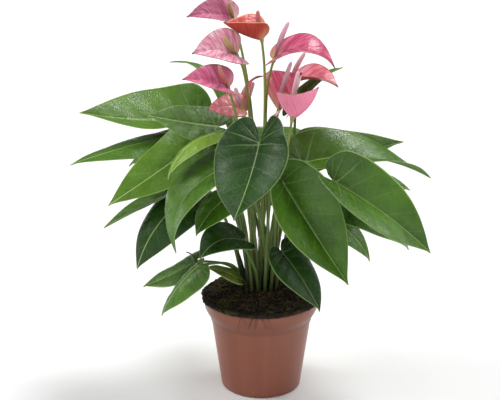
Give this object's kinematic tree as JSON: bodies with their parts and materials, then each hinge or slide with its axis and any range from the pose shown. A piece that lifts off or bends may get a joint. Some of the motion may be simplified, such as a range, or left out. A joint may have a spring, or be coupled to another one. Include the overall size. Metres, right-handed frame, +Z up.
{
  "type": "potted flamingo flower",
  "caption": "Potted flamingo flower: glossy heart-shaped leaves and pink spathes with upright spadices on long stalks, rising from peat in a tapered plastic nursery pot.",
  "frame": {"origin": "centre of the pot's flat underside, on the surface that it stands on", "axes": "+Z up along the pot's axis, the picture's viewer on the -Y side, +X to the viewer's right"},
  "size_m": [0.3663, 0.3015, 0.4023],
  "materials": {
    "pot": "satin moulded",
    "peat": "fibrous and rough",
    "leaf": "glossy",
    "young_leaf": "glossy",
    "flower_stalk": "satin",
    "spathe": "glossy",
    "spadix": "fine bumps"
  },
  "bodies": {
    "root": {"pot": "pot", "soil": "peat", "leaf_left_top": "leaf", "leaf_left_upper": "leaf", "leaf_left_long": "leaf", "leaf_left_middle": "leaf", "leaf_young": "young_leaf", "leaf_front_left": "leaf", "leaf_left_edge": "leaf", "leaf_left_low": "leaf", "leaf_front_centre": "leaf", "leaf_front_right": "leaf", "leaf_right_outer": "leaf", "leaf_right_top": "leaf", "leaf_right_back": "leaf", "leaf_right_low": "leaf", "leaf_front_low": "leaf", "leaf_curled": "leaf", "leaf_shoot_upper": "leaf", "leaf_shoot_lower": "leaf", "leaf_small": "leaf", "leaf_back_left_top": "leaf", "leaf_back_right_top": "leaf", "leaf_right_inner": "leaf", "leaf_right_under": "leaf", "leaf_inner_left": "leaf", "leaf_back_left": "leaf", "leaf_back_a": "leaf", "leaf_back_b": "leaf", "leaf_back_c": "leaf", "flower_left_top_stalk": "flower_stalk", "flower_left_top_spathe": "spathe", "flower_left_top_spadix": "spadix", "flower_top_stalk": "flower_stalk", "flower_top_spathe": "spathe", "flower_top_spadix": "spadix", "flower_left_stalk": "flower_stalk", "flower_left_spathe": "spathe", "flower_left_spadix": "spadix", "flower_left_low_stalk": "flower_stalk", "flower_left_low_spathe": "spathe", "flower_left_low_spadix": "spadix", "flower_small_stalk": "flower_stalk", "flower_small_spathe": "spathe", "flower_small_spadix": "spadix", "flower_inner_stalk": "flower_stalk", "flower_inner_spathe": "spathe", "flower_inner_spadix": "spadix", "flower_right_top_stalk": "flower_stalk", "flower_right_top_spathe": "spathe", "flower_right_top_spadix": "spadix", "flower_cup_stalk": "flower_stalk", "flower_cup_spathe": "spathe", "flower_cup_spadix": "spadix", "flower_right_stalk": "flower_stalk", "flower_right_spathe": "spathe", "flower_right_spadix": "spadix", "flower_front_stalk": "flower_stalk", "flower_front_spathe": "spathe", "flower_front_spadix": "spadix"}
  },
  "joints": []
}
